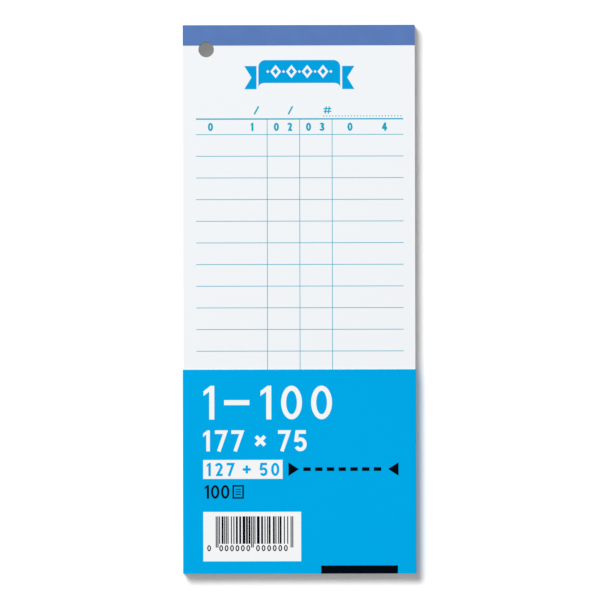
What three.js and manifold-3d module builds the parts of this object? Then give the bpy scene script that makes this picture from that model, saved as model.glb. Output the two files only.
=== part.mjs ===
// A pad of one hundred guest checks with a paper belly band, lying on its back.
// Millimetres, +Z up, the bound head towards +Y and the face of the top slip towards +Z.
// The origin is the bottom centre of the pad's overall box.

import * as THREE from "three";
import { mergeVertices } from "three/addons/utils/BufferGeometryUtils.js";
import Module from "manifold-3d";

// The slips, cut to size in one stack.
const slip_width = 75;
const slip_length = 177;
const slip_thickness = 0.075;
const air_between_slips = 0.005;
const slip_count = 100;

// The sheets from the top that are separate. The sheets under them are one block.
const separate_slips = 53;

// The bill part is torn off each slip at a perforation this far from the foot.
const bill_length = 50;

// The chipboard under the slips.
const board_thickness = 0.6;

// Padding glue on the head edges of the slips and the board.
const glue_thickness = 0.2;

// The binding tape, folded round the head. Its lower edge is the top slip's crease.
const tape_thickness = 0.15;
const tape_front_flap = 6.6;
const tape_back_flap = 12;

// The hole punched through the whole pad, from its left edge and its head.
const hole_diameter = 5;
const hole_from_left = 7.6;
const hole_from_head = 7.9;
const hole_sides = 24;

// The belly band, a closed loop of paper flush with the foot, lapped and glued on the back.
const band_height = 66;
const band_thickness = 0.1;
const band_clearance = 0.1;
const band_fold_radius = 0.15;
const band_lap_width = 15;
const fold_steps = 3;

// Levels, from the lapped seam of the band up to the top slip.
const band_back_z = band_thickness;
const board_bottom_z = band_back_z + band_thickness + band_clearance;
const board_top_z = board_bottom_z + board_thickness;
const slip_pitch = slip_thickness + air_between_slips;
const stack_top_z = board_top_z + slip_count * slip_pitch;
const tape_top_z = stack_top_z + tape_thickness;

// Places along the pad, from foot to head.
const pad_length = slip_length + glue_thickness + tape_thickness;
const head_y = pad_length / 2;
const foot_y = -pad_length / 2;
const slip_head_y = foot_y + slip_length;
const glue_head_y = slip_head_y + glue_thickness;
const crease_y = head_y - tape_front_flap;
const perforation_y = foot_y + bill_length;

// Places across the pad.
const slip_side_x = slip_width / 2;
const hole_x = hole_from_left - slip_side_x;
const hole_y = head_y - hole_from_head;

const wasm = await Module();
wasm.setup();

function solidOf(geometry) {
  const bare = geometry.clone();
  bare.deleteAttribute("normal");
  bare.deleteAttribute("uv");
  const merged = mergeVertices(bare, 1e-5);
  return new wasm.Manifold(
    new wasm.Mesh({
      numProp: 3,
      vertProperties: new Float32Array(merged.attributes.position.array),
      triVerts: new Uint32Array(merged.index.array),
    }),
  );
}

function geometryOf(solid) {
  const mesh = solid.getMesh();
  const indexed = new THREE.BufferGeometry();
  indexed.setAttribute("position", new THREE.BufferAttribute(mesh.vertProperties, 3));
  indexed.setIndex(new THREE.BufferAttribute(mesh.triVerts, 1));
  const flat = indexed.toNonIndexed();
  flat.computeVertexNormals();
  return flat;
}

// The punch goes through every piece that lies under the hole.
function punched(geometry) {
  const reach = 2 * tape_top_z;
  const punch = new THREE.CylinderGeometry(hole_diameter / 2, hole_diameter / 2, 2 * reach, hole_sides);
  punch.rotateX(Math.PI / 2);
  punch.translate(hole_x, hole_y, 0);
  return geometryOf(solidOf(geometry).subtract(solidOf(punch)));
}

// A flat sheet as wide as the slips, from one place along the pad to another.
function sheet(from_y, to_y, thickness) {
  const geometry = new THREE.BoxGeometry(slip_width, to_y - from_y, thickness);
  geometry.translate(0, (from_y + to_y) / 2, thickness / 2);
  return geometry;
}

function material(name, color, roughness) {
  return new THREE.MeshStandardMaterial({ name, color, roughness, metalness: 0 });
}

const pad = new THREE.Group();

function place(name, geometry, finish, z = 0) {
  const mesh = new THREE.Mesh(geometry, finish);
  mesh.name = name;
  mesh.position.z = z;
  pad.add(mesh);
  return mesh;
}

function slipName(number) {
  return "slip_" + String(number).padStart(3, "0");
}

// The underside of a slip, counted from 1 at the top of the pad.
function slipBottomZ(number) {
  return stack_top_z - slip_thickness - (number - 1) * slip_pitch;
}

function paper() {
  return material("slip_paper", 0xf1f4f7, 0.85);
}

// The chipboard is as large as a slip and is punched with the slips.
function backingBoard() {
  const board = punched(sheet(foot_y, slip_head_y, board_thickness));
  return place("backing_board", board, material("grey_board", 0x9a9690, 0.9), board_bottom_z);
}

// The glue film covers the head edges from the board's underside to the top slip.
function headGlue() {
  const film = sheet(slip_head_y, glue_head_y, stack_top_z - board_bottom_z);
  return place("head_glue", film, material("padding_glue", 0xe9e4d4, 0.4), board_bottom_z);
}

// The tape's section across the pad's thickness, in Y and Z, is a U open towards the foot.
function tapeSection() {
  const section = new THREE.Shape();
  section.moveTo(crease_y, stack_top_z);
  section.lineTo(glue_head_y, stack_top_z);
  section.lineTo(glue_head_y, board_bottom_z);
  section.lineTo(head_y - tape_back_flap, board_bottom_z);
  section.lineTo(head_y - tape_back_flap, board_bottom_z - tape_thickness);
  section.lineTo(glue_head_y, board_bottom_z - tape_thickness);
  section.absarc(glue_head_y, board_bottom_z, tape_thickness, -Math.PI / 2, 0);
  section.lineTo(head_y, stack_top_z);
  section.absarc(glue_head_y, stack_top_z, tape_thickness, 0, Math.PI / 2);
  section.lineTo(crease_y, tape_top_z);
  return section;
}

function headTape() {
  const options = { depth: slip_width, bevelEnabled: false, curveSegments: fold_steps };
  const strip = new THREE.ExtrudeGeometry(tapeSection(), options);
  strip.translate(0, 0, -slip_width / 2);
  const along_y = new THREE.Vector3(0, 1, 0);
  const along_z = new THREE.Vector3(0, 0, 1);
  const along_x = new THREE.Vector3(1, 0, 0);
  strip.applyMatrix4(new THREE.Matrix4().makeBasis(along_y, along_z, along_x));
  return place("head_tape", punched(strip), material("binding_tape", 0x5d7abc, 0.7));
}

// The top slip is the three pieces that come apart on it.
function topSlip() {
  const bottom_z = slipBottomZ(1);
  const bound = punched(sheet(crease_y, slip_head_y, slip_thickness));
  const order = punched(sheet(perforation_y, crease_y, slip_thickness));
  const bill = sheet(foot_y, perforation_y, slip_thickness);
  place(slipName(1) + "_bound_edge", bound, paper(), bottom_z);
  place(slipName(1) + "_order", order, paper(), bottom_z);
  place(slipName(1) + "_bill", bill, paper(), bottom_z);
}

function separateSlips() {
  const slip = punched(sheet(foot_y, slip_head_y, slip_thickness));
  for (let number = 2; number <= separate_slips; number += 1) {
    place(slipName(number), slip, paper(), slipBottomZ(number));
  }
}

function slipBlock() {
  const bottom_z = slipBottomZ(slip_count);
  const height = slipBottomZ(separate_slips) - air_between_slips - bottom_z;
  const block = punched(sheet(foot_y, slip_head_y, height));
  place("lower_slips_block", block, paper(), bottom_z);
}

// A closed outline in X and Z with its four corners rounded, drawn anticlockwise.
function roundedFrame(path, side_x, bottom_z, top_z, radius) {
  path.moveTo(-side_x + radius, bottom_z);
  path.lineTo(side_x - radius, bottom_z);
  path.absarc(side_x - radius, bottom_z + radius, radius, -Math.PI / 2, 0);
  path.lineTo(side_x, top_z - radius);
  path.absarc(side_x - radius, top_z - radius, radius, 0, Math.PI / 2);
  path.lineTo(-side_x + radius, top_z);
  path.absarc(-side_x + radius, top_z - radius, radius, Math.PI / 2, Math.PI);
  path.lineTo(-side_x, bottom_z + radius);
  path.absarc(-side_x + radius, bottom_z + radius, radius, Math.PI, 1.5 * Math.PI);
  return path;
}

// One loop of paper round the slips and the board. Where its ends lap, a second ply lies
// under the back panel, bonded into it.
function bellyBand() {
  const inner_x = slip_side_x + band_clearance;
  const inner_bottom_z = board_bottom_z - band_clearance;
  const inner_top_z = stack_top_z + band_clearance;
  const outer_x = inner_x + band_thickness;
  const outer_top_z = inner_top_z + band_thickness;
  const outer_radius = band_fold_radius + band_thickness;
  const section = roundedFrame(new THREE.Shape(), outer_x, band_back_z, outer_top_z, outer_radius);
  section.holes.push(roundedFrame(new THREE.Path(), inner_x, inner_bottom_z, inner_top_z, band_fold_radius));
  const options = { depth: band_height, bevelEnabled: false, curveSegments: fold_steps };
  const loop = new THREE.ExtrudeGeometry(section, options);
  loop.rotateX(Math.PI / 2);
  loop.translate(0, foot_y + band_height, 0);
  const lap_top_z = band_back_z + band_thickness / 2;
  const lap = new THREE.BoxGeometry(band_lap_width, band_height, lap_top_z);
  lap.translate(0, foot_y + band_height / 2, lap_top_z / 2);
  const band = geometryOf(solidOf(loop).add(solidOf(lap)));
  return place("belly_band", band, material("band_paper", 0x02a9ec, 0.45));
}

backingBoard();
headGlue();
headTape();
topSlip();
separateSlips();
slipBlock();
bellyBand();

export default pad;
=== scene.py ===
import math
import random

import bpy
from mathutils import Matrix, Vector
from mathutils.geometry import delaunay_2d_cdt


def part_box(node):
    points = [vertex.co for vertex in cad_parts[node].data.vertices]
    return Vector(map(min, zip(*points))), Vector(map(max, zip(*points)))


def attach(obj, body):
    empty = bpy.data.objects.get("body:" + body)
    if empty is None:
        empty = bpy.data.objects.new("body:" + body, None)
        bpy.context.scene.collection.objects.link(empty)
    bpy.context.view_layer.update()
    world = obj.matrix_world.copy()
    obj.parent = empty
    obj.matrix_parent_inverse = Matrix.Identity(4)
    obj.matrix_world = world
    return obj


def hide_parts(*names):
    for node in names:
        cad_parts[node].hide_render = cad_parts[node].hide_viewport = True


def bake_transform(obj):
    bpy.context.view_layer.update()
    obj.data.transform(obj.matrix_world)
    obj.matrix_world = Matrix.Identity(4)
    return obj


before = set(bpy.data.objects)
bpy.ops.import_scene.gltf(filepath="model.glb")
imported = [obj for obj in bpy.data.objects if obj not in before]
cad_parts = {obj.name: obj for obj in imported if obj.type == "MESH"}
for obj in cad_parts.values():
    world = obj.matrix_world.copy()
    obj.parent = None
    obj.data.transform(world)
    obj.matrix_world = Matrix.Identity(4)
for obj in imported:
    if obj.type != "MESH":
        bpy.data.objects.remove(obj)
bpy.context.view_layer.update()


# Backing board
# A rectangle of grey recycled chipboard, 0.6 mm thick, as large as a slip. It is gathered
# under the stack, glued at the head with it, and trimmed and punched with it.

class Signal:
    """The output of a shader node. Arithmetic on it adds Math nodes to the same material."""

    def __init__(self, tree, socket=None):
        self.tree = tree
        self.socket = socket

    def node(self, kind, settings=None, inputs=None, output=0):
        """Adds a node, first with its settings, then with the values or links of its sockets."""
        made = self.tree.nodes.new("ShaderNode" + kind)
        for name, value in (settings or {}).items():
            setattr(made, name, value)
        for identifier, value in (inputs or {}).items():
            socket = next(s for s in made.inputs if s.identifier == identifier)
            if isinstance(value, Signal):
                self.tree.links.new(value.socket, socket)
            else:
                socket.default_value = value
        return Signal(self.tree, made.outputs[output]) if made.outputs else None

    def math(self, operation, *values):
        inputs = dict(zip(("Value", "Value_001", "Value_002"), values))
        return self.node("Math", {"operation": operation}, inputs)

    def __add__(self, other):
        return self.math("ADD", self, other)

    __radd__ = __add__

    def __rsub__(self, other):
        return self.math("SUBTRACT", other, self)

    def __mul__(self, other):
        return self.math("MULTIPLY", self, other)

    __rmul__ = __mul__

    def noise(self, scale, detail=2.0, roughness=0.5, dimensions="2D"):
        """Cloudy noise laid over this vector, from 0 to 1."""
        inputs = {"Vector": self, "Scale": scale, "Detail": detail, "Roughness": roughness}
        return self.node("TexNoise", {"noise_dimensions": dimensions}, inputs)

    def stretched(self, x, y, z=1.0):
        """This vector with each of its axes multiplied."""
        inputs = {"Vector": self, "Vector_001": (x, y, z)}
        return self.node("VectorMath", {"operation": "MULTIPLY"}, inputs)

    def between(self, low, high):
        """0 where this number is under low, 1 where it is over high."""
        inputs = {"Value": self, "From Min": low, "From Max": high}
        return self.node("MapRange", {"clamp": True}, inputs)

    def colours(self, first, second):
        """The first colour where this number is 0, the second where it is 1."""
        inputs = {"Factor_Float": self, "A_Color": first, "B_Color": second}
        return self.node("Mix", {"data_type": "RGBA"}, inputs, 2)


def shade(colour, amount):
    """A colour multiplied by one number, with full alpha."""
    return (*(channel * amount for channel in colour[:3]), 1.0)


def new_finish(name):
    material = bpy.data.materials.new(name)
    material.use_nodes = True
    material.node_tree.nodes.clear()
    return material, Signal(material.node_tree)


def finish_with(start, colour, roughness, height, relief, fixed=None):
    """Ends a material in one surface shader, with its relief as a bump of that depth in metres."""
    bump = start.node("Bump", {}, {"Height": height, "Distance": relief, "Strength": 1.0})
    inputs = {"Base Color": colour, "Roughness": roughness, "Normal": bump, **(fixed or {})}
    surface = start.node("BsdfPrincipled", {}, inputs)
    start.node("OutputMaterial", {}, {"Surface": surface})


def chipboard_finish():
    grey = (0.335, 0.315, 0.285)
    material, start = new_finish("grey_chipboard")
    place = start.node("TexCoord", {}, {}, "Object")
    pulp = place.noise(900, 4, 0.65, "3D")
    fibres = place.stretched(1.0, 0.25).noise(2600, 3, 0.6, "3D")
    flecks = place.stretched(1.0, 0.6).noise(1500, 1, 0.4, "3D")
    dark_flecks = flecks.between(0.66, 0.7)
    pale_flecks = (1 - flecks).between(0.68, 0.72)
    base = (0.6 * pulp + 0.4 * fibres).colours(shade(grey, 0.82), shade(grey, 1.2))
    colour = (0.5 * dark_flecks).colours(base, shade(grey, 0.45))
    colour = (0.5 * pale_flecks).colours(colour, shade(grey, 1.9))
    finish_with(start, colour, 0.93, pulp + fibres, 3.5e-5)
    return material


def box_mm(node):
    """The lowest and highest corners of a CAD node, in millimetres."""
    low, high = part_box(node)
    return low * 1000, high * 1000


def rectangle(left, foot, right, head):
    return [(left, foot), (right, foot), (right, head), (left, head)]


def ellipse_arc(centre, radius_x, radius_y, start, end, steps):
    """Points along an ellipse from one angle to another, in degrees."""
    angles = [math.radians(start + (end - start) * k / steps) for k in range(steps + 1)]
    x, y = centre
    return [(x + radius_x * math.cos(a), y + radius_y * math.sin(a)) for a in angles]


def circle(centre, radius, sides):
    return ellipse_arc(centre, radius, radius, 0, 360, sides)[:-1]


def anticlockwise(outline):
    """The same outline, turned round if it runs clockwise."""
    ends = outline[1:] + outline[:1]
    area = sum(a[0] * b[1] - b[0] * a[1] for a, b in zip(outline, ends))
    return outline if area > 0 else outline[::-1]


def cut_sheet(name, finishes, outline, place, thickness, cuts=(), prints=(), folds=(), under=0):
    """A sheet that is cut and printed flat, in mm, and then laid where place(u, v, depth) says.

    prints is a list of (finish number, outlines): what lies inside an odd number of the
    outlines gets that finish. folds are lines along which the sheet can bend."""
    loops = [outline, *cuts]
    groups = []
    for finish, outlines in prints:
        groups.append((finish, range(len(loops), len(loops) + len(outlines))))
        loops.extend(outlines)
    corners, faces, edges = [], [], []
    for loop in loops:
        faces.append(list(range(len(corners), len(corners) + len(loop))))
        corners.extend(Vector(point) for point in anticlockwise(loop))
    for start, end in folds:
        edges.append((len(corners), len(corners) + 1))
        corners.extend((Vector(start), Vector(end)))
    flat, _, triangles, _, _, sources = delaunay_2d_cdt(corners, edges, faces, 0, 1e-5)

    cut_loops = range(1, 1 + len(cuts))
    kept, finish_of = [], []
    for triangle, inside in zip(triangles, sources):
        if 0 not in inside or any(loop in cut_loops for loop in inside):
            continue
        finish = 0
        for number, group in groups:
            if sum(loop in group for loop in inside) % 2:
                finish = number
        a, b, c = (flat[i] for i in triangle)
        faces_up = (b - a).cross(c - a) > 0
        kept.append(tuple(triangle) if faces_up else tuple(reversed(triangle)))
        finish_of.append(finish)

    used = sorted({corner for triangle in kept for corner in triangle})
    index = {corner: i for i, corner in enumerate(used)}
    count = len(used)
    points = [Vector(place(*flat[i], 0.0)) / 1000 for i in used]
    points += [Vector(place(*flat[i], thickness)) / 1000 for i in used]
    top = [tuple(index[i] for i in triangle) for triangle in kept]
    below = [tuple(i + count for i in reversed(triangle)) for triangle in top]
    sides = {(t[k], t[(k + 1) % 3]) for t in top for k in range(3)}
    rim = sorted((a, b) for a, b in sides if (b, a) not in sides)
    walls = [(b, a, a + count, b + count) for a, b in rim]

    mesh = bpy.data.meshes.new(name)
    mesh.from_pydata(points, [], top + below + walls)
    for finish in finishes:
        mesh.materials.append(finish)
    numbers = finish_of + [under] * (len(below) + len(walls))
    mesh.polygons.foreach_set("material_index", numbers)
    mesh.polygons.foreach_set("use_smooth", [True] * len(mesh.polygons))
    sharp = {frozenset(pair) for pair in rim} | {frozenset((a + count, b + count)) for a, b in rim}
    for edge in mesh.edges:
        edge.use_edge_sharp = frozenset(edge.vertices) in sharp
    layer = mesh.uv_layers.new(name="sheet")
    for corner, item in zip(mesh.loops, layer.data):
        item.uv = flat[used[corner.vertex_index % count]] / 1000
    mesh.validate()
    piece = bpy.data.objects.new(name, mesh)
    bpy.context.scene.collection.objects.link(piece)
    return piece


def lie_flat(top_z):
    """Lays a sheet flat with its face at that height, in mm."""
    return lambda u, v, depth: (u, v, top_z - depth)


board_low, board_high = box_mm("backing_board")
hole_radius = 2.5
hole_from_left = 7.6
hole_from_head = 7.9
pad_head_y = box_mm("head_tape")[1].y
hole_centre = (board_low.x + hole_from_left, pad_head_y - hole_from_head)
punched_hole = circle(hole_centre, hole_radius, 64)

board_outline = rectangle(board_low.x, board_low.y, board_high.x, board_high.y)
chipboard = cut_sheet("chipboard_back", [chipboard_finish()], board_outline, lie_flat(board_high.z),
                      board_high.z - board_low.z, cuts=[punched_hole])
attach(chipboard, "pad")
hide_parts("backing_board")


# Lower slips
# Slips 3 to 100, thin uncoated writing paper. They are jogged into a stack, glued at the
# head and trimmed together, so that their edges stay within a few hundredths of a millimetre.

slip_low, slip_high = box_mm("slip_002")
slip_thickness = slip_high.z - slip_low.z
slip_pitch = slip_low.z - box_mm("slip_003")[0].z
slips_in_pad = 100
paper_white = (0.888, 0.911, 0.935)


def slip_paper_finish(name, tone_name=None):
    """Writing paper, with the cloudy look of its pulp. Each sheet may have its own tone."""
    material, start = new_finish(name)
    place = start.node("UVMap", {"uv_map": "sheet"})
    clouds = place.noise(420, 3, 0.6)
    fibres = place.stretched(1.0, 0.45).noise(5200, 3, 0.6)
    tone = 0.35 * clouds + 0.65 * fibres
    colour = tone.colours(shade(paper_white, 0.985), shade(paper_white, 1.015))
    if tone_name:
        sheet_tone = start.node("Attribute", {"attribute_name": tone_name}, {}, "Fac")
        colour = sheet_tone.colours(colour, shade(paper_white, 0.8))
    finish_with(start, colour, 0.88, fibres + 0.5 * clouds, 6e-6, {"Specular IOR Level": 0.1})
    return material


def slip_stack_tree():
    """Geometry nodes that pile one sheet up downwards. Each copy is a hair smaller than the
    last cut allows, measured from the glued head, and a hair to one side."""
    tree = bpy.data.node_groups.new("slip_stack", "GeometryNodeTree")
    sockets = {
        "Sheet": "NodeSocketGeometry", "Slips": "NodeSocketInt", "Pitch": "NodeSocketFloat",
        "Head": "NodeSocketFloat", "Shift": "NodeSocketFloat", "Trim": "NodeSocketFloat",
        "Seed": "NodeSocketInt", "Paper": "NodeSocketMaterial",
    }
    for name, kind in sockets.items():
        tree.interface.new_socket(name, in_out="INPUT", socket_type=kind)
    tree.interface.new_socket("Stack", in_out="OUTPUT", socket_type="NodeSocketGeometry")

    def node(kind, settings=None, inputs=None):
        made = tree.nodes.new(kind)
        for name, value in (settings or {}).items():
            setattr(made, name, value)
        for key, value in (inputs or {}).items():
            socket = next(s for s in made.inputs if s.identifier == key)
            if isinstance(value, bpy.types.NodeSocket):
                tree.links.new(value, socket)
            else:
                socket.default_value = value
        return made

    asked = node("NodeGroupInput").outputs
    down = node("ShaderNodeMath", {"operation": "MULTIPLY"},
                {"Value": asked["Pitch"], "Value_001": -1.0})
    step = node("ShaderNodeCombineXYZ", {}, {"Z": down.outputs[0]})
    head = node("ShaderNodeCombineXYZ", {}, {"Y": asked["Head"]})
    line = node("GeometryNodeMeshLine", {"mode": "OFFSET"}, {
        "Count": asked["Slips"], "Start Location": head.outputs[0], "Offset": step.outputs[0]})
    less = node("ShaderNodeMath", {"operation": "MULTIPLY"},
                {"Value": asked["Shift"], "Value_001": -1.0})
    lowest = node("ShaderNodeCombineXYZ", {}, {"X": less.outputs[0]})
    highest = node("ShaderNodeCombineXYZ", {}, {"X": asked["Shift"]})
    shifts = node("FunctionNodeRandomValue", {"data_type": "FLOAT_VECTOR"},
                  {"Min": lowest.outputs[0], "Max": highest.outputs[0], "Seed": asked["Seed"]})
    moved = node("GeometryNodeSetPosition", {},
                 {"Geometry": line.outputs[0], "Offset": shifts.outputs[0]})
    smallest = node("ShaderNodeMath", {"operation": "SUBTRACT"},
                    {"Value": 1.0, "Value_001": asked["Trim"]})
    small = node("ShaderNodeCombineXYZ", {},
                 {"X": smallest.outputs[0], "Y": smallest.outputs[0], "Z": 1.0})
    other_seed = node("ShaderNodeMath", {"operation": "ADD"},
                      {"Value": asked["Seed"], "Value_001": 7.0})
    sizes = node("FunctionNodeRandomValue", {"data_type": "FLOAT_VECTOR"},
                 {"Min": small.outputs[0], "Max": (1.0, 1.0, 1.0), "Seed": other_seed.outputs[0]})
    piled = node("GeometryNodeInstanceOnPoints", {},
                 {"Points": moved.outputs[0], "Instance": asked["Sheet"], "Scale": sizes.outputs[0]})
    tones = node("FunctionNodeRandomValue", {"data_type": "FLOAT"}, {"Seed": asked["Seed"]})
    toned = node("GeometryNodeStoreNamedAttribute", {"data_type": "FLOAT", "domain": "INSTANCE"},
                 {"Geometry": piled.outputs[0], "Name": "sheet_tone", "Value": tones.outputs[1]})
    real = node("GeometryNodeRealizeInstances", {}, {"Geometry": toned.outputs[0]})
    papered = node("GeometryNodeSetMaterial", {},
                   {"Geometry": real.outputs[0], "Material": asked["Paper"]})
    out = node("NodeGroupOutput")
    tree.links.new(papered.outputs[0], out.inputs[0])
    return tree


slip_outline = rectangle(slip_low.x, slip_low.y, slip_high.x, slip_high.y)
stack_paper = slip_paper_finish("stacked_slip_paper", "sheet_tone")
third_slip_z = slip_high.z - slip_pitch


def from_the_head(u, v, depth):
    """Lays slip 3 with its glued head on the X axis, so that the pile trims only its foot."""
    return u, v - slip_high.y, third_slip_z - depth


one_slip = cut_sheet("one_slip", [stack_paper], slip_outline, from_the_head, slip_thickness,
                     cuts=[punched_hole])
stack = one_slip.modifiers.new("stack", "NODES")
stack.node_group = slip_stack_tree()
stack_sizes = {
    "Slips": slips_in_pad - 2, "Pitch": slip_pitch / 1000, "Head": slip_high.y / 1000,
    "Shift": 1.2e-5, "Trim": 0.001, "Seed": 4, "Paper": stack_paper,
}
for item in stack.node_group.interface.items_tree:
    if item.name in stack_sizes:
        stack[item.identifier] = stack_sizes[item.name]
one_slip.update_tag()
evaluated = one_slip.evaluated_get(bpy.context.evaluated_depsgraph_get())
lower_slips = bpy.data.objects.new("lower_slips", bpy.data.meshes.new_from_object(evaluated))
lower_slips.data.name = "lower_slips"
bpy.context.scene.collection.objects.link(lower_slips)
bpy.data.objects.remove(one_slip)
separate_slips = [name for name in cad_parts
                  if name.startswith("slip_0") and name[5:8] > "002"]
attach(lower_slips, "pad")
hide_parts("lower_slips_block", *separate_slips)


# Slip 2
# The next slip to be used, offset printed in cyan on its face, with a perforation across it
# above the bill part. It lies under the top slip, and shows when that is lifted or torn off.

def ink_finish(name, cyan):
    """Cyan ink that has sunk a little into the writing paper."""
    material, start = new_finish(name)
    place = start.node("UVMap", {"uv_map": "sheet"})
    fibres = place.noise(5200, 3, 0.6)
    clouds = place.noise(700, 2, 0.5)
    strength = (0.6 * fibres + 0.4 * clouds).between(0.2, 0.8)
    colour = strength.colours(shade(cyan, 1.07), shade(cyan, 0.94))
    finish_with(start, colour, 0.8, fibres, 6e-6, {"Specular IOR Level": 0.0})
    return material


def stroke(points, width):
    """The outline of a line of even width, with mitred bends."""
    points = [Vector(point) for point in points]
    left, right = [], []
    for k, point in enumerate(points):
        before = (point - points[max(k - 1, 0)]).normalized()
        after = (points[min(k + 1, len(points) - 1)] - point).normalized()
        along = (before + after).normalized()
        across = Vector((-along.y, along.x))
        reach = width / 2 / max(along.dot(after if k == 0 else before), 0.3)
        left.append(tuple(point + across * reach))
        right.append(tuple(point - across * reach))
    return left + right[::-1]


def numeral(sign, weight):
    """The outlines of a plain numeral or sign one unit high, and its width."""
    half, top = weight / 2, 1 - weight / 2
    if sign == "0":
        rings = [ellipse_arc((0.31, 0.5), 0.31 - w, 0.5 - w, 0, 360, 32)[:-1] for w in (0, weight)]
        return rings, 0.62
    if sign == "1":
        low = 0.84 - 0.95 * weight
        return [[(0.38 - weight, 0), (0.38, 0), (0.38, 1), (0.38 - 0.75 * weight, 1), (0.06, 0.84),
                 (0.06, low), (0.38 - weight, low + 0.13)]], 0.4
    if sign == "2":
        bow = ellipse_arc((0.3, 0.7), 0.3 - half, 0.3 - half, 165, -38, 16)
        return [stroke([*bow, (0.02 + weight, half), (0.6, half)], weight)], 0.6
    if sign == "3":
        lower_top, upper_foot = 0.53 + half, 0.53 - half
        outer = ellipse_arc((0.28, 0.74), 0.28, 0.26, 165, -55, 14)
        outer += ellipse_arc((0.28, 0.29), 0.32, 0.29, 50, -165, 16)
        inner = ellipse_arc((0.28, 0.29), 0.32 - weight, 0.29 - weight, -165, 75, 16)
        inner += [(0.18, upper_foot), (0.18, lower_top)]
        inner += ellipse_arc((0.28, 0.74), 0.28 - weight, 0.26 - weight, -75, 165, 14)
        return [outer + inner], 0.6
    if sign == "4":
        stem_left, bar_foot = 0.5 - weight, 0.22
        bar_head = bar_foot + weight
        whole = [(stem_left, 0), (0.5, 0), (0.5, bar_foot), (0.62, bar_foot), (0.62, bar_head),
                 (0.5, bar_head), (0.5, 1), (stem_left, 1), (0, bar_head), (0, bar_foot),
                 (stem_left, bar_foot)]
        inside = [(stem_left, bar_head), (stem_left, 1 - 1.7 * weight), (1.15 * weight, bar_head)]
        return [whole, inside], 0.62
    if sign == "5":
        bow = ellipse_arc((0.3, 0.33), 0.3 - half, 0.33 - half, 128, -152, 20)
        return [stroke([(0.56, top), (0.15, top), (0.1, 0.53), *bow], weight)], 0.6
    if sign == "7":
        return [stroke([(0.02, top), (0.52, top), (0.2, 0)], weight)], 0.58
    if sign in "+x":
        arm = [(half, half), (half, 0.3), (-half, 0.3), (-half, half)]
        turns = range(0, 360, 90) if sign == "+" else range(45, 405, 90)
        points = []
        for turn in turns:
            c, s = math.cos(math.radians(turn)), math.sin(math.radians(turn))
            points += [(0.3 + x * c - y * s, 0.5 + x * s + y * c) for x, y in arm[:3]]
        return [points], 0.6
    if sign == "-":
        return [rectangle(0, 0.5 - half, 0.75, 0.5 + half)], 0.75
    return [], 0.12


def numbers(text, height, left, foot, weight, gap=0.14):
    """A line of plain numerals of that height, from that corner on, in mm."""
    outlines = []
    for sign in text:
        shapes, width = numeral(sign, weight)
        outlines += [[(left + height * x, foot + height * y) for x, y in shape] for shape in shapes]
        left += height * (width + gap)
    return outlines


print_centre_x = 0.25
heavy_rule = 0.43
fine_rule = 0.215
table_side = 33.5
table_left = print_centre_x - table_side
table_right = print_centre_x + table_side
table_head_y = 58.3
first_row_y = 53.27
row_height = 7.0
rows = 12
columns = [print_centre_x + side for side in (-10.5, 0.0, 10.5)]
heading_places = (-29.4, -15.7, -8.1, -3.8, 2.3, 6.7, 15.7, 26.9)
heading_foot_y = 54.4
heading_height = 2.7
date_places = (-14.4, -3.4)
date_foot_y = 59.8
number_left = 8.0
number_line_y = 59.24
number_line_dots = 26
dot_pitch = 1.0
dot_radius = 0.21
perforation_y = box_mm("slip_001_bill")[1].y


def rule_across(y, width):
    return rectangle(table_left, y - width / 2, table_right, y + width / 2)


def upright(x, foot, head, width=fine_rule):
    return rectangle(x - width / 2, foot, x + width / 2, head)


def dotted_line(y):
    """A writing line of fine dots, for a number."""
    places = [number_left + k * dot_pitch for k in range(number_line_dots)]
    return [circle((x, y), dot_radius, 8) for x in places]


def lozenge(centre, half_width, half_height):
    return ellipse_arc(centre, half_width, half_height, 0, 360, 4)[:-1]


def banner():
    """A ribbon banner with swallow tails, its panel set with a row of plain lozenges."""
    centre = print_centre_x - 0.06
    half, top, bottom, tip = 13.23, 77.34, 69.92, 68.4
    corner, sweep = 2.2, 2.0
    panel = ellipse_arc((centre + half - corner, top - corner), corner, corner, 0, 90, 8)
    panel += ellipse_arc((centre - half + corner, top - corner), corner, corner, 90, 180, 8)
    panel += ellipse_arc((centre - half + sweep, tip), sweep, bottom - tip, 180, 90, 8)
    panel += ellipse_arc((centre + half - sweep, tip), sweep, bottom - tip, 90, 0, 8)
    outlines = [panel]
    tail_inner, tail_outer, tail_notch = 13.84, 17.8, 15.48
    tail_head, tail_foot, notch_y = 75.43, 67.92, 71.7
    for side in (-1, 1):
        outlines.append([
            (centre + side * tail_inner, tail_foot), (centre + side * tail_outer, tail_foot),
            (centre + side * tail_notch, notch_y), (centre + side * tail_outer, tail_head),
            (centre + side * tail_inner, tail_head)])
    middle_y = (top + bottom) / 2
    lozenges, spacing, bead_radius = 4, 5.1, 0.4
    for k in range(lozenges):
        x = centre + (k - (lozenges - 1) / 2) * spacing
        outlines.append(lozenge((x, middle_y), 1.75, 2.15))
        outlines.append(lozenge((x, middle_y), 0.85, 1.05))
    for k in range(lozenges + 1):
        outlines.append(circle((centre + (k - lozenges / 2) * spacing, middle_y), bead_radius, 12))
    return outlines


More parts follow.
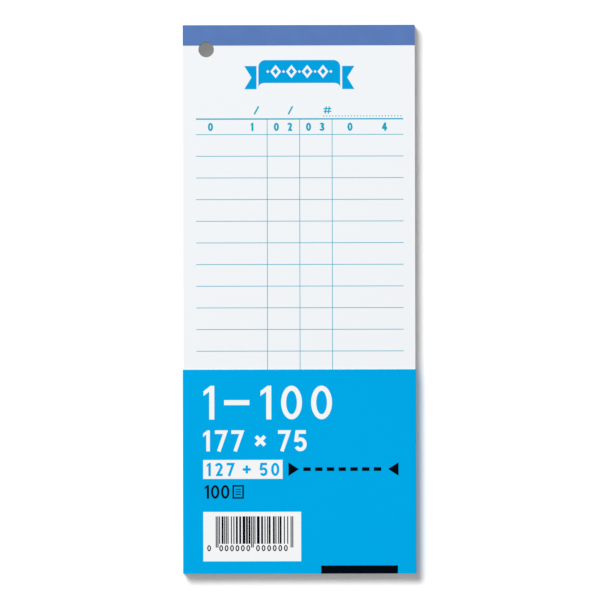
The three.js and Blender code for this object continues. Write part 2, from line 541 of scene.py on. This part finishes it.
def order_print(solid, thin):
    """The print of the order part: banner, date line, ruled table and total row."""
    table_foot_y = first_row_y - rows * row_height
    total_foot_y = table_foot_y - row_height
    across = [rule_across(table_head_y, heavy_rule)]
    across += [rule_across(first_row_y - k * row_height, fine_rule) for k in range(rows)]
    across += [rule_across(table_foot_y, heavy_rule), rule_across(total_foot_y, heavy_rule)]
    uprights = [upright(x, table_foot_y, table_head_y) for x in columns]
    uprights.append(upright(columns[1], total_foot_y, table_foot_y))
    marks = dotted_line(number_line_y)
    for x in date_places:
        marks.append(stroke([(x, date_foot_y), (x + 1.4, date_foot_y + 2.6)], 0.52))
    for x in (number_left + 0.5, number_left + 1.5):
        uprights.append(stroke([(x, date_foot_y + 0.2), (x + 0.4, date_foot_y + 2.5)], 0.42))
    for y in (date_foot_y + 0.95, date_foot_y + 1.8):
        across.append(rectangle(number_left, y - 0.2, number_left + 2.5, y + 0.2))
    for x, sign in zip(heading_places, "01020304"):
        marks += numbers(sign, heading_height, x, heading_foot_y, 0.24)
    return [(thin, across), (thin, uprights), (thin, marks), (solid, banner())]


def bill_print(thin):
    """The print of the bill part: a dotted line, a framed amount and two writing lines."""
    dots_y = perforation_y - 6.5
    frame_head_y = perforation_y - 9.0
    frame_foot_y = frame_head_y - 12.0
    amount_left = table_left + 18
    across = [rule_across(frame_head_y, heavy_rule), rule_across(frame_foot_y, heavy_rule)]
    across += [rule_across(frame_foot_y - k * row_height, fine_rule) for k in (1, 2)]
    ends = [upright(x, frame_foot_y, frame_head_y, heavy_rule) for x in (table_left, table_right)]
    ends.append(upright(amount_left, frame_foot_y, frame_head_y))
    return [(thin, across), (thin, ends), (thin, dotted_line(dots_y))]


slit_count = 50
slit_length = 1.0
slit_pitch = 1.5
slit_half = 0.06
first_slit = 0.25
slit_lefts = [slip_low.x + first_slit + k * slit_pitch for k in range(slit_count)]
slits = [rectangle(x, perforation_y - slit_half, x + slit_length, perforation_y + slit_half)
         for x in slit_lefts]

slip_paper = slip_paper_finish("slip_paper")
cyan_ink = ink_finish("cyan_ink", (0.001, 0.358, 0.735))
thin_ink = ink_finish("thin_cyan_ink", (0.001, 0.395, 0.565))
second_slip = cut_sheet("slip_two", [slip_paper, cyan_ink, thin_ink], slip_outline,
                        lie_flat(slip_high.z), slip_thickness, cuts=[punched_hole, *slits],
                        prints=order_print(1, 2) + bill_print(2))
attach(second_slip, "pad")
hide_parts("slip_002")


# Top slip
# The slip in use, printed like the others. Its head is held under the tape, and it bends up
# at the tape's lower edge, so the sheet is one piece across that crease.

order_low, order_high = box_mm("slip_001_order")
bound_high = box_mm("slip_001_bound_edge")[1]
crease_y = order_high.y
crease_bend = 1.1
crease_steps = 16


def notched_edge(y, depth, leftwards):
    """The edge along the perforation: bridges at y, and slits cut back by depth."""
    points = []
    for left in slit_lefts:
        right = left + slit_length
        points += [(left, y), (left, y + depth), (right, y + depth), (right, y)]
    return list(reversed(points)) if leftwards else points


order_outline = [(order_low.x, perforation_y), *notched_edge(perforation_y, slit_half, False),
                 (order_high.x, perforation_y), (order_high.x, bound_high.y),
                 (order_low.x, bound_high.y)]
crease_lines = []
for k in range(crease_steps + 1):
    y = crease_y - crease_bend * k / crease_steps
    crease_lines.append(((order_low.x - 1, y), (order_high.x + 1, y)))
top_slip = cut_sheet("top_slip_order_part", [slip_paper, cyan_ink, thin_ink], order_outline,
                     lie_flat(order_high.z), slip_thickness, cuts=[punched_hole],
                     prints=order_print(1, 2), folds=crease_lines)
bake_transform(top_slip)
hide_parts("slip_001_order", "slip_001_bound_edge")


# Bill part
# The foot of the top slip, torn off at the perforation and handed to the guest. Until then
# the paper bridges between the slits hold it in line with the order part.

bill_low, bill_high = box_mm("slip_001_bill")
bill_outline = [(bill_low.x, bill_low.y), (bill_high.x, bill_low.y), (bill_high.x, perforation_y),
                *notched_edge(perforation_y, -slit_half, True), (bill_low.x, perforation_y)]
bill_part = cut_sheet("top_slip_bill_part", [slip_paper, thin_ink], bill_outline,
                      lie_flat(bill_high.z), slip_thickness, prints=bill_print(1))
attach(bill_part, "bill_part")
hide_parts("slip_001_bill")


# Head glue
# Two brushed coats of flexible padding glue, dried to a milky film on the trimmed head edges.
# It holds every slip and the board, and shows only at the two open ends of the tape.

def glue_finish():
    milky = (0.8, 0.76, 0.65)
    material, start = new_finish("padding_glue")
    place = start.node("TexCoord", {}, {}, "Object")
    brushed = place.stretched(0.15, 1.0, 1.0).noise(2200, 2, 0.5, "3D")
    colour = brushed.colours(shade(milky, 0.9), shade(milky, 1.05))
    finish_with(start, colour, 0.38, brushed, 4e-5)
    return material


glue_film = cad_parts["head_glue"]
glue_film.data.materials.clear()
glue_film.data.materials.append(glue_finish())


# Binding tape
# One strip of matt blue paper tape with a fine woven grain. It is glued down on the top slip,
# folded round the head, glued down on the board, and trimmed and punched with the pad.

def bent_path(start, heading, legs):
    """A line of straight runs and right-hand bends in a plane.

    legs is a list of (run, turn in degrees, bend radius). Returns a function from the distance
    along the line to (point, outward direction), and the distances of the fold lines."""
    bend_steps = 5
    pieces, fold_places, length = [], [], 0.0
    point, angle = Vector(start), math.radians(heading)
    for run, turn, radius in legs:
        along = Vector((math.cos(angle), math.sin(angle)))
        pieces.append((length, "run", point.copy(), angle, 0.0))
        point = point + along * run
        length += run
        if turn:
            inward = Vector((math.sin(angle), -math.cos(angle)))
            centre = point + inward * radius
            pieces.append((length, "bend", centre, angle, radius))
            bend = math.radians(turn) * radius
            fold_places += [length + bend * k / bend_steps for k in range(bend_steps + 1)]
            length += bend
            angle -= math.radians(turn)
            point = centre + Vector((-math.sin(angle), math.cos(angle))) * radius

    def at(distance):
        reached = [piece for piece in pieces[1:] if distance >= piece[0] - 1e-6]
        begin, kind, origin, heading_here, radius = reached[-1] if reached else pieces[0]
        gone = distance - begin
        if kind == "run":
            along = Vector((math.cos(heading_here), math.sin(heading_here)))
            return origin + along * gone, Vector((-along.y, along.x))
        turned = heading_here - gone / radius
        outward = Vector((-math.sin(turned), math.cos(turned)))
        return origin + outward * radius, outward

    return at, fold_places, length


def tape_finish():
    blue = (0.101, 0.201, 0.485)
    thread = 0.00042
    material, start = new_finish("blue_binding_tape")
    place = start.node("UVMap", {"uv_map": "sheet"})
    across = start.node("SeparateXYZ", {}, {"Vector": place}, "X")
    wobble = place.noise(300, 2, 0.5) * 0.6
    warp = (across * (math.pi / thread) + wobble).math("SINE")
    down = start.node("SeparateXYZ", {}, {"Vector": place}, "Y")
    weft = (down * (math.pi / thread) + wobble).math("SINE")
    weave = warp * warp * (weft * weft)
    fibres = place.noise(3800, 3, 0.6)
    worn = place.noise(160, 3, 0.55)
    tone = 0.4 * weave + 0.3 * fibres + 0.3 * worn
    colour = tone.between(0.1, 0.7).colours(shade(blue, 0.86), shade(blue, 1.15))
    finish_with(start, colour, 0.78, weave + fibres, 1.0e-5, {"Specular IOR Level": 0.1})
    return material


tape_low, tape_high = box_mm("head_tape")
tape_thickness = tape_high.z - order_high.z
inner_fold_radius = 0.02
tape_fold = tape_thickness + inner_fold_radius
front_flap = tape_high.y - crease_y
back_flap = tape_high.y - tape_low.y
spine = tape_high.z - tape_low.z
tape_legs = [(front_flap - tape_fold, 90, tape_fold), (spine - 2 * tape_fold, 90, tape_fold),
             (back_flap - tape_fold, 0, 0)]
tape_at, tape_folds, tape_width = bent_path((crease_y, tape_high.z), 0, tape_legs)


def round_the_head(u, v, depth):
    """u runs across the pad, and v along the tape's width from its front edge."""
    point, outward = tape_at(v)
    point = point - outward * depth
    return u, point.x, point.y


hole_on_front = hole_centre[1] - crease_y
hole_on_back = tape_width - (hole_centre[1] - tape_low.y)
tape_outline = rectangle(tape_low.x, 0, tape_high.x, tape_width)
tape_holes = [circle((hole_centre[0], v), hole_radius, 64) for v in (hole_on_front, hole_on_back)]
fold_lines = [((tape_low.x - 1, v), (tape_high.x + 1, v)) for v in tape_folds]
binding_tape = cut_sheet("binding_tape", [tape_finish()], tape_outline, round_the_head,
                         tape_thickness, cuts=tape_holes, folds=fold_lines)
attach(binding_tape, "pad")
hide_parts("head_tape")


# Belly band
# A strip of smooth coated paper, printed solid cyan outside and white inside. It is wrapped
# round the foot half of the pad, and its ends are lapped and glued on the back.

def band_print_finish(name, ink):
    """Printed coated paper, smooth, with the slight unevenness of a solid print."""
    material, start = new_finish(name)
    place = start.node("UVMap", {"uv_map": "sheet"})
    mottle = place.noise(900, 3, 0.55)
    drift = place.noise(25, 1, 0.5)
    tone = 0.5 * mottle + 0.5 * drift
    colour = tone.between(0.2, 0.8).colours(shade(ink, 0.98), shade(ink, 1.02))
    roughness = 0.4 + 0.12 * mottle
    grain = place.noise(2600, 2, 0.5)
    finish_with(start, colour, roughness, grain, 2.5e-6, {"Specular IOR Level": 0.0})
    return material


band_low, band_high = box_mm("belly_band")
band_thickness = 0.1
lap_half = 7.5
lap_step = 1.4
lap_bends = 6
fold_radius = 0.25
band_side = band_high.x - fold_radius
band_rise = band_high.z - band_thickness - 2 * fold_radius
band_legs = [(lap_half + band_side, 90, fold_radius), (band_rise, 90, fold_radius),
             (2 * band_side, 90, fold_radius), (band_rise, 90, fold_radius),
             (band_side + lap_half, 0, 0)]
band_at, band_folds, band_length = bent_path((lap_half, band_thickness), 180, band_legs)
lap_start = band_length - 2 * lap_half
front_middle = band_folds[-1] - (band_folds[-1] - band_folds[0]) / 2


def round_the_pad(u, v, depth):
    """u runs along the band from its inner end, and v up the pad."""
    point, outward = band_at(u)
    share = min(max((u - (lap_start - lap_step)) / lap_step, 0.0), 1.0)
    sink = band_thickness * share * share * (3 - 2 * share)
    point = point + outward * (sink - depth)
    return point.x, v, point.y


def on_front(outlines):
    """Moves outlines from the pad's own x to the place of the front panel on the strip."""
    return [[(x + front_middle, y) for x, y in outline] for outline in outlines]


def barcode(left, foot, right, head, guard_foot):
    """Bars of made-up widths that code nothing, with longer guard bars."""
    bars = 30
    guards = (0, 1, bars // 2 - 1, bars // 2, bars - 2, bars - 1)
    dice = random.Random(8)
    widths = [1 if k // 2 in guards else dice.choice((1, 1, 2, 2, 3)) for k in range(2 * bars - 1)]
    module = (right - left) / sum(widths)
    outlines, x = [], left
    for k, width in enumerate(widths):
        if k % 2 == 0:
            low = guard_foot if k // 2 in guards else foot
            outlines.append(rectangle(x - 0.04, low, x + width * module + 0.04, head))
        x += width * module
    return outlines


print_left = -31.15
sizes_box = rectangle(print_left, -58.0, -5.48, -51.87)
barcode_box = rectangle(print_left, -84.65, 0.47, -68.65)
white_print = numbers("1-100", 10.9, print_left - 0.5, -38.8, 0.15, 0.27)
white_print += numbers("177 x 75", 6.8, print_left - 0.4, -49.1, 0.17, 0.2)
white_print += [sizes_box, barcode_box]
white_print += numbers("127 + 50", 4.3, -30.3, -57.1, 0.19, 0.27)

sheet_sign = [rectangle(-21.7, -64.4, -18.0, -60.0), rectangle(-21.2, -63.9, -18.5, -60.5)]
sheet_sign += [rectangle(-20.7, y - 0.15, -19.0, y + 0.15) for y in (-61.4, -62.2, -63.0)]
arrow_heads = [[(-3.6, -57.1), (-0.2, -54.9), (-3.6, -52.7)],
               [(32.0, -52.7), (28.6, -54.9), (32.0, -57.1)]]
dashes = [rectangle(1.2 + 3.8 * k, -55.5, 3.6 + 3.8 * k, -54.3) for k in range(7)]
zero_places = [-29.9, *(-26.0 + 1.75 * k for k in range(6)), *(-14.1 + 1.8 * k for k in range(6))]
foot_bar = rectangle(6.9, band_low.y, 31.75, -86.05)
black_print = numbers("100", 4.4, print_left + 0.2, -64.4, 0.165, 0.12)
black_print += sheet_sign + arrow_heads + dashes
black_print += barcode(-27.1, -79.0, -2.1, -70.1, -80.2)
for x in zero_places:
    black_print += numbers("0", 2.0, x, -81.4, 0.19)
black_print.append(foot_bar)

cyan_print = band_print_finish("cyan_band_print", (0.0005, 0.397, 0.805))
bare_white = band_print_finish("white_band_paper", (0.925, 0.94, 0.945))
black_ink = band_print_finish("black_band_print", (0.0015, 0.0035, 0.0075))
band_outline = rectangle(0, band_low.y, band_length, band_high.y)
band_prints = [(1, on_front(white_print)), (2, on_front(black_print))]
lap_folds = [lap_start - lap_step * k / lap_bends for k in range(lap_bends + 1)]
band_fold_lines = [((u, band_low.y - 1), (u, band_high.y + 1)) for u in [*band_folds, *lap_folds]]
band = cut_sheet("paper_belly_band", [cyan_print, bare_white, black_ink], band_outline,
                 round_the_pad, band_thickness, prints=band_prints, folds=band_fold_lines, under=1)
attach(band, "band")
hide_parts("belly_band")


# Table, light and camera
# A plain white table with a painted shade spot under the punched hole, one broad lamp high on
# the left beyond the head, even light from all round, and a camera far above the pad that looks
# straight down.

def seen_by_camera(start):
    """1 where the camera sees the surface, straight or by way of gloss or glass, and 0 where
    it only lights other things."""
    ways = ("Is Camera Ray", "Is Glossy Ray", "Is Transmission Ray")
    straight, mirrored, passed = (start.node("LightPath", {}, {}, way) for way in ways)
    return (straight + mirrored + passed).between(0, 1)


def table_finish():
    """White that still takes the shadow. Seen directly, it is a touch brighter, and under the
    punched
    hole it carries painted shade: a dark grey spot with an even glow of its own, so the hole shows
    an even grey."""
    # Painted shade: a round dark grey spot on the table under the punched hole stands in for the
    # shade inside the hole.
    white, grey, black = (0.97, 0.97, 0.97, 1), (0.06, 0.06, 0.06, 1), (0, 0, 0, 1)
    painted_shade_radius, painted_shade_edge = 0.003, 0.0003
    table_glow, painted_shade_glow = 0.16, 0.222
    material, start = new_finish("white_table")
    place = start.node("TexCoord", {}, {}, "Object")
    under_hole = (hole_centre[0] / 1000, hole_centre[1] / 1000, 0)
    away = start.node("VectorMath", {"operation": "DISTANCE"},
                      {"Vector": place, "Vector_001": under_hole}, 1)
    in_painted_hole_shade = 1 - away.between(painted_shade_radius, painted_shade_radius + painted_shade_edge)
    colour = in_painted_hole_shade.colours(white, grey)
    # The spot's own, stronger glow is part of the painted shade and evens its grey.
    brightness = table_glow + (painted_shade_glow - table_glow) * in_painted_hole_shade
    glow = (seen_by_camera(start) * brightness).colours(black, (1, 1, 1, 1))
    surface = start.node("BsdfPrincipled", {}, {
        "Base Color": colour, "Roughness": 1.0, "Specular IOR Level": 0.0,
        "Emission Color": glow, "Emission Strength": 1.0})
    start.node("OutputMaterial", {}, {"Surface": surface})
    return material


table_half = 4.0
table_corners = rectangle(-table_half, -table_half, table_half, table_half)
table_mesh = bpy.data.meshes.new("table")
table_mesh.from_pydata([(x, y, 0) for x, y in table_corners], [], [(0, 1, 2, 3)])
table_mesh.materials.append(table_finish())
table = bpy.data.objects.new("table", table_mesh)
bpy.context.scene.collection.objects.link(table)

even_light = 0.174
world = bpy.data.worlds.new("even_light")
world.use_nodes = True
world.node_tree.nodes.clear()
sky = Signal(world.node_tree)
strength = seen_by_camera(sky) * (1 - even_light) + even_light
background = sky.node("Background", {}, {"Color": (1, 1, 1, 1), "Strength": strength})
sky.node("OutputWorld", {}, {"Surface": background})
bpy.context.scene.world = world

lamp_height = 3.0
lamp_lean = Vector((-0.238, 0.332, 1.0))
lamp = bpy.data.lights.new("broad_lamp", "AREA")
lamp.shape = "DISK"
lamp.size = 1.04
lamp.energy = 93
lamp_object = bpy.data.objects.new("broad_lamp", lamp)
lamp_object.location = lamp_lean * lamp_height
lamp_object.rotation_euler = lamp_lean.to_track_quat("Z", "Y").to_euler()
bpy.context.scene.collection.objects.link(lamp_object)

picture_pixels = 598
picture_middle = picture_pixels / 2
pixels_per_metre = 3094
picture_metres = picture_pixels / pixels_per_metre
pad_centre_pixel = (299.2, 299.3)
pad_turn = math.radians(0.12)
camera = bpy.data.cameras.new("camera")
camera.lens = 600
camera.sensor_width = 36
camera_distance = picture_metres * camera.lens / camera.sensor_width
camera_object = bpy.data.objects.new("camera", camera)
camera_object.location = (
    (picture_middle - pad_centre_pixel[0]) / pixels_per_metre,
    (pad_centre_pixel[1] - picture_middle) / pixels_per_metre,
    order_high.z / 1000 + camera_distance)
camera_object.rotation_euler = (0, 0, -pad_turn)
bpy.context.scene.collection.objects.link(camera_object)
bpy.context.scene.camera = camera_object
bpy.context.scene.view_settings.view_transform = "Standard"
